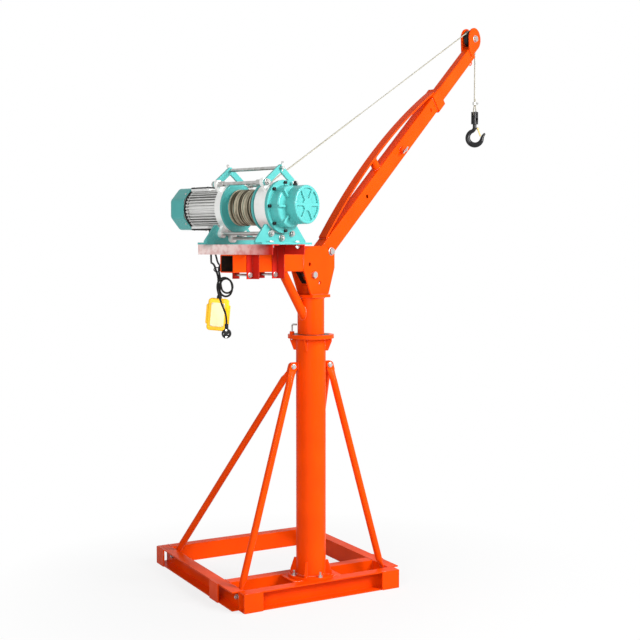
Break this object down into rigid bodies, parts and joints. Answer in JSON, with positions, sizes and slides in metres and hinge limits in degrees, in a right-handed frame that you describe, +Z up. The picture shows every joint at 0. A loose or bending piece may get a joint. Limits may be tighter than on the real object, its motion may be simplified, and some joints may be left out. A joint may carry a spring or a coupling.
{
  "type": "mini crane",
  "caption": "Free-standing slewing mini crane: channel floor frame, braced column, luffing telescopic boom, electric rope winch on a rear beam, hook and hanging pendant control.",
  "frame": {"origin": "on the slewing axis, at floor level", "axes": "+X along the boom seen from above, +Y towards the winch motor, +Z up"},
  "size_m": [1.9129, 1.1198, 2.5902],
  "materials": {
    "orange_paint": "satin orange coat over welded steel",
    "oxide_paint": "dark red primer coat",
    "zinc_steel": "zinc plated steel",
    "cast_aluminium": "bare cast aluminium",
    "teal_paint": "semi-gloss blue-green coat",
    "black_plastic": "moulded black plastic",
    "black_steel": "black coated forged steel",
    "brass_latch": "yellow plated sheet",
    "wire_rope": "greased steel wire rope",
    "yellow_plastic": "moulded yellow plastic",
    "cable_rubber": "black rubber sheath"
  },
  "bodies": {
    "base": {"front_beam": "orange_paint", "inner_seat_frame": "orange_paint", "rear_beam": "orange_paint", "left_side_beam": "orange_paint", "right_side_beam": "orange_paint", "corner_pockets": "orange_paint", "lower_column_tube": "orange_paint", "column_flanges": "orange_paint", "column_ribs": "orange_paint", "frame_bolts": "zinc_steel", "left_front_brace": "orange_paint", "left_rear_brace": "orange_paint", "right_front_brace": "orange_paint", "right_rear_brace": "orange_paint", "thrust_bearing": "zinc_steel"},
    "slew_lock": {"slew_lock_rod": "zinc_steel"},
    "upper": {"upper_column": "orange_paint", "boom_cheeks": "orange_paint", "boom_pivot_pin": "zinc_steel", "winch_beam": "orange_paint", "beam_strut": "orange_paint", "platform_rails": "oxide_paint", "clamp_angles": "oxide_paint", "platform_bolts": "zinc_steel", "winch_housings": "cast_aluminium", "winch_rods": "zinc_steel", "hanging_brackets": "teal_paint", "winch_feet": "teal_paint", "motor_body": "cast_aluminium", "fan_cover": "teal_paint", "motor_covers": "black_plastic", "gearbox_cover": "teal_paint", "gearbox_end_cover": "teal_paint", "gearbox_fittings": "black_plastic", "pendant_case": "yellow_plastic", "cable_glands": "black_plastic", "pendant_cable": "cable_rubber", "power_lead": "cable_rubber", "power_plug": "black_plastic", "cable_tie": "black_plastic", "rope_lower_span": "wire_rope"},
    "luff_pin": {"luff_pin": "zinc_steel"},
    "drum": {"rope_drum": "teal_paint", "rope_winding": "wire_rope"},
    "motor_fan": {"motor_fan": "black_plastic"},
    "up_button": {"up_button": "black_plastic"},
    "down_button": {"down_button": "black_plastic"},
    "boom": {"boom_tube": "orange_paint", "boom_stiffener": "orange_paint"},
    "boom_lock_screw": {"boom_lock_screw": "zinc_steel"},
    "extension": {"extension_tube": "orange_paint", "head_plates": "orange_paint", "head_pins": "zinc_steel", "rope_upper_span": "wire_rope"},
    "sheave": {"sheave": "black_steel"},
    "hoist_line": {"rope_fall": "wire_rope"},
    "hook_block": {"hook_block": "black_steel", "rope_eye": "wire_rope"},
    "hook": {"hook": "black_steel"},
    "hook_latch": {"hook_latch": "brass_latch"}
  },
  "joints": [
    {"name": "slew", "type": "hinge", "parent": "base", "child": "upper", "pos_m": [0, 0, 0.716], "axis": [0, 0, 1], "continuous": true},
    {"name": "slew_lock_lift", "type": "slide", "parent": "base", "child": "slew_lock", "axis": [0, 0, 1], "range_m": [0, 0.028]},
    {"name": "luff_pin_pull", "type": "slide", "parent": "upper", "child": "luff_pin", "axis": [0, -1, 0], "range_m": [0, 0.11]},
    {"name": "boom_luff", "type": "hinge", "parent": "upper", "child": "boom", "pos_m": [0.093, 0, 1.47], "axis": [0, -1, 0], "range_deg": [0, 12], "deforming": ["rope_lower_span"]},
    {"name": "extension_slide", "type": "slide", "parent": "boom", "child": "extension", "axis": [0.766, 0, 0.6428], "range_m": [-0.3, 0.3], "deforming": ["rope_upper_span"]},
    {"name": "lock_screw_turn", "type": "hinge", "parent": "boom", "child": "boom_lock_screw", "pos_m": [0.63091, -0.025, 1.93507], "axis": [0, -1, 0], "range_deg": [0, 180]},
    {"name": "drum_spin", "type": "hinge", "parent": "upper", "child": "drum", "pos_m": [-0.3475, 0, 1.645], "axis": [0, -1, 0], "range_deg": [-1470, 126]},
    {"name": "fan_spin", "type": "hinge", "parent": "upper", "child": "motor_fan", "pos_m": [-0.3475, 0.33, 1.645], "axis": [0, -1, 0], "range_deg": [-29500, 2600]},
    {"name": "sheave_spin", "type": "hinge", "parent": "extension", "child": "sheave", "pos_m": [1.27655, 0, 2.53622], "axis": [0, -1, 0], "range_deg": [-2400, 210]},
    {"name": "fall_plumb", "type": "hinge", "parent": "extension", "child": "hoist_line", "pos_m": [1.27655, 0, 2.53622], "axis": [0, -1, 0], "range_deg": [-12.5, 0.5]},
    {"name": "hoist", "type": "slide", "parent": "hoist_line", "child": "hook_block", "axis": [0, 0, 1], "range_m": [-1.75, 0.15], "deforming": ["rope_fall"]},
    {"name": "hook_swivel", "type": "hinge", "parent": "hook_block", "child": "hook", "pos_m": [1.32205, 0, 2.11472], "axis": [0, 0, 1], "continuous": true},
    {"name": "latch_swing", "type": "hinge", "parent": "hook", "child": "hook_latch", "pos_m": [1.33207, -0.01247, 2.09272], "axis": [0.7793, 0.6266, 0], "range_deg": [0, 30], "stiffness_Nm_per_rad": 0.05, "springref_deg": -11.46},
    {"name": "up_press", "type": "slide", "parent": "upper", "child": "up_button", "axis": [-0.7793, -0.6266, 0], "range_m": [0, 0.004], "stiffness_N_per_m": 400, "springref_m": -0.002},
    {"name": "down_press", "type": "slide", "parent": "upper", "child": "down_button", "axis": [-0.7793, -0.6266, 0], "range_m": [0, 0.004], "stiffness_N_per_m": 400, "springref_m": -0.002}
  ],
  "couplings": [
    {"joint": "hoist", "follows": "drum_spin", "m_per_rad": 0.068},
    {"joint": "sheave_spin", "follows": "drum_spin", "ratio": 1.619},
    {"joint": "fan_spin", "follows": "drum_spin", "ratio": 20},
    {"joint": "fall_plumb", "follows": "boom_luff", "ratio": -1}
  ]
}
